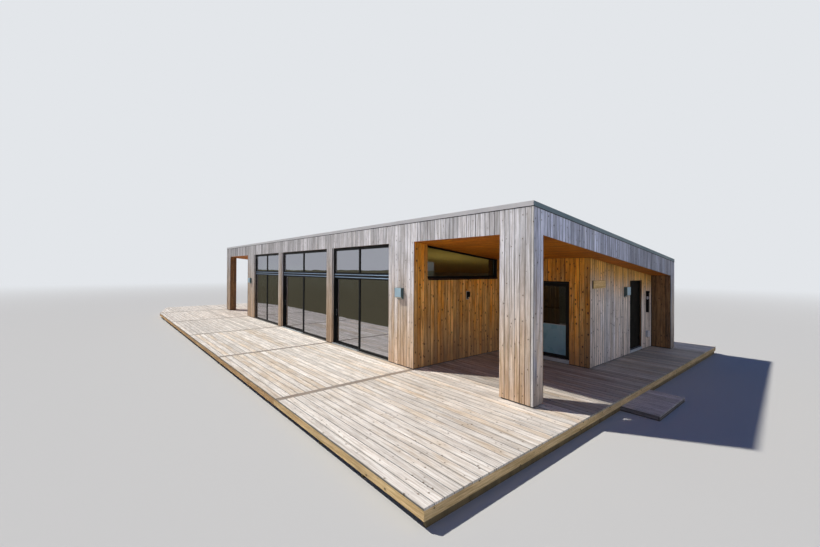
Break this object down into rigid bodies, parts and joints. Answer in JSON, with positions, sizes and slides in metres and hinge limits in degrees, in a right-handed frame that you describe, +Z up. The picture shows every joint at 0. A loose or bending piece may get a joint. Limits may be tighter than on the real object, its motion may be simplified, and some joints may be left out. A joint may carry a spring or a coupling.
{
  "type": "timber beach house",
  "caption": "Single-storey timber-clad beach house under one sloping roof, with glazed bays, a sheltered porch and a raised timber deck; its outer doors swing and its terrace doors slide",
  "frame": {"origin": "on the ground under the middle of the house, deck and step together", "axes": "+X to the right along the front of the house, +Y from the front into the house, +Z up"},
  "size_m": [25.224, 12.852, 3.9304],
  "materials": {
    "concrete": "cast concrete, matt",
    "floor_boards": "oiled boards",
    "joists": "rough sawn, treated",
    "deck_boards": "planed pine, sun bleached",
    "rim_boards": "planed pine",
    "cladding": "weathered vertical boards",
    "porch_cladding": "warm brown vertical boards with knots",
    "soffit_boards": "warm brown boards",
    "roof_structure": "white painted ceiling below",
    "roof_cover": "matt roofing membrane",
    "roof_trim": "pale grey sheet metal",
    "frames": "satin black",
    "glass": "clear double glazing",
    "door_paint": "satin black",
    "sills": "pale satin sheet metal",
    "lamps": "satin pale grey",
    "dark_fittings": "matt black",
    "name_board": "oiled board",
    "socket_box": "pale grey plastic"
  },
  "bodies": {
    "house": {"foundation": "concrete", "floor": "floor_boards", "deck_joists": "joists", "deck_front": "deck_boards", "deck_right": "deck_boards", "deck_back": "deck_boards", "deck_left": "deck_boards", "rim_boards": "rim_boards", "entry_step": "deck_boards", "corner_column": "cladding", "left_column": "cladding", "lamp_wall": "cladding", "right_pier": "cladding", "left_pier": "cladding", "left_wall": "cladding", "porch_wall": "porch_cladding", "entry_wall_left": "porch_cladding", "entry_wall_right": "porch_cladding", "entry_wall_over": "porch_cladding", "side_wall_front": "cladding", "side_wall_back": "cladding", "side_wall_over": "cladding", "back_wall": "cladding", "end_wall": "cladding", "roof": "roof_structure", "fascia": "cladding", "soffit": "soffit_boards", "roof_cover": "roof_cover", "roof_trim": "roof_trim", "left_bay_frame": "frames", "middle_bay_frame": "frames", "right_bay_frame": "frames", "bay_glass": "glass", "clerestory_frames": "frames", "clerestory_glass": "glass", "back_window_frames": "frames", "back_window_glass": "glass", "porch_door_frame": "frames", "side_door_frame": "door_paint", "door_sills": "sills", "wall_lamps": "lamps", "porch_lamp": "dark_fittings", "name_board": "name_board", "wall_fitting": "dark_fittings", "socket_box": "socket_box"},
    "middle_slide": {"middle_bay_leaf": "frames", "middle_bay_leaf_glass": "glass"},
    "right_slide": {"right_bay_leaf": "frames", "right_bay_leaf_glass": "glass"},
    "porch_door": {"porch_door_leaf": "frames", "porch_door_glass": "glass"},
    "side_door": {"side_door_leaf": "door_paint"}
  },
  "joints": [
    {"name": "middle_bay_slide", "type": "slide", "parent": "house", "child": "middle_slide", "axis": [1, 0, 0], "range_m": [0, 1.919]},
    {"name": "right_bay_slide", "type": "slide", "parent": "house", "child": "right_slide", "axis": [1, 0, 0], "range_m": [0, 1.471]},
    {"name": "porch_door_hinge", "type": "hinge", "parent": "house", "child": "porch_door", "pos_m": [10.0655, 0.404, 0.36], "axis": [0, 0, 1], "range_deg": [0, 100]},
    {"name": "side_door_hinge", "type": "hinge", "parent": "house", "child": "side_door", "pos_m": [10.585, 3.8585, 0.36], "axis": [0, 0, 1], "range_deg": [0, 100]}
  ]
}
